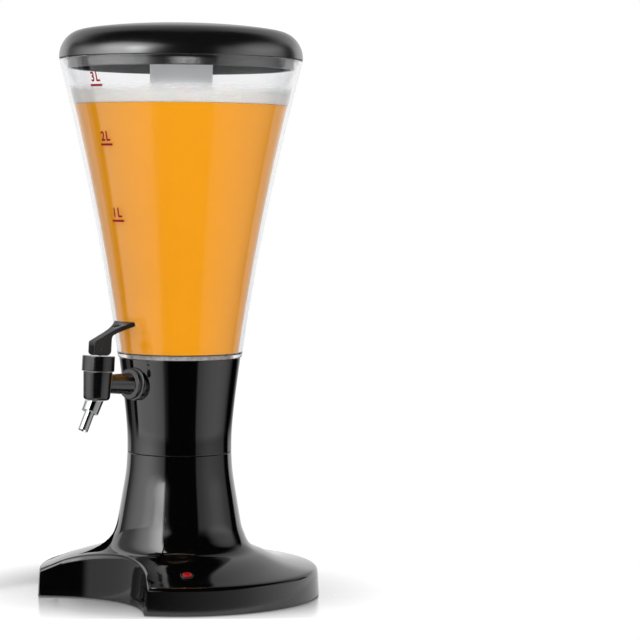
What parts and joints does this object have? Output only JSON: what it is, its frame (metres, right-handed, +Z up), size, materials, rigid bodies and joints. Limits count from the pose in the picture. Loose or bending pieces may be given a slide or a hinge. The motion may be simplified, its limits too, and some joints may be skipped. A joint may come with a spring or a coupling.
{
  "type": "beer tower dispenser",
  "caption": "Table drink dispenser: clear tapered container with lid and ice tube on a black collar and flared foot, with a side tap, a glass bay and a light button",
  "frame": {"origin": "on the table, under the middle of the foot", "axes": "+Z up, -Y to the front where the tap and the bay for the glass are, +X to the right seen from the front"},
  "size_m": [0.2276, 0.2173, 0.4543],
  "materials": {
    "gloss_black": "high gloss moulded",
    "matt_black": "fine satin",
    "tap_black": "gloss moulded",
    "lid_black": "semi gloss moulded",
    "clear_plastic": "clear",
    "frosted_plastic": "frosted",
    "white_plastic": "satin",
    "red_plastic": "satin gloss",
    "rubber": "matt",
    "steel": "satin",
    "chrome": "polished",
    "circuit_board": "solder mask",
    "battery_jacket": "plain wrap",
    "lead_red": "insulation"
  },
  "bodies": {
    "base": {"foot_shell": "gloss_black", "bottom_plate": "matt_black", "rubber_foot_1": "rubber", "rubber_foot_2": "rubber", "rubber_foot_3": "rubber", "rubber_foot_4": "rubber", "base_screw_1": "steel", "base_screw_2": "steel", "base_screw_3": "steel", "base_screw_4": "steel", "battery_cover": "matt_black", "cover_screw": "steel", "battery_1": "battery_jacket", "battery_2": "battery_jacket", "battery_3": "battery_jacket", "contact_strip_front": "steel", "contact_strip_back": "steel", "battery_lead": "lead_red", "lamp_lead": "lead_red", "light_board": "circuit_board", "led_1": "frosted_plastic", "led_2": "frosted_plastic", "led_3": "frosted_plastic", "led_4": "frosted_plastic", "light_lens": "frosted_plastic", "switch_housing": "chrome", "switch_nut": "steel", "button_spring": "steel"},
    "button": {"light_button": "red_plastic"},
    "tower": {"collar_shell": "gloss_black", "container": "clear_plastic", "tap_body": "tap_black", "outer_washer": "rubber", "inner_washer": "rubber", "shank_nut": "white_plastic", "bonnet": "tap_black", "gland_disc": "white_plastic", "stem_seal": "rubber", "tap_spring": "steel", "spout_adapter": "chrome", "spout_tube": "steel"},
    "stem": {"valve_stem": "steel", "seat_washer": "rubber"},
    "lever": {"tap_lever": "tap_black", "lever_pin": "steel"},
    "lid": {"lid": "lid_black"},
    "ice": {"ice_tube": "clear_plastic"}
  },
  "joints": [
    {"name": "tower_lift", "type": "slide", "parent": "base", "child": "tower", "axis": [0, 0, 1], "range_m": [0, 0.05]},
    {"name": "lid_lift", "type": "slide", "parent": "tower", "child": "lid", "axis": [0, 0, 1], "range_m": [0, 0.35]},
    {"name": "ice_tube_lift", "type": "slide", "parent": "tower", "child": "ice", "axis": [0, 0, 1], "range_m": [0, 0.28]},
    {"name": "stem_lift", "type": "slide", "parent": "tower", "child": "stem", "axis": [0, 0.061, 0.9981], "range_m": [0, 0.0024], "deforming": ["tap_spring"]},
    {"name": "tap_lever_turn", "type": "hinge", "parent": "stem", "child": "lever", "pos_m": [0, -0.08897, 0.19995], "axis": [1, 0, 0], "range_deg": [0, 40], "stiffness_Nm_per_rad": 0.05, "springref_deg": -28.65},
    {"name": "light_button_press", "type": "slide", "parent": "base", "child": "button", "axis": [-0.2803, 0.2012, -0.9386], "range_m": [0, 0.0015], "stiffness_N_per_m": 60, "springref_m": -0.002, "deforming": ["button_spring"]}
  ],
  "couplings": [
    {"joint": "ice_tube_lift", "follows": "lid_lift", "ratio": 0.8},
    {"joint": "stem_lift", "follows": "tap_lever_turn", "m_per_rad": 0.0034}
  ]
}
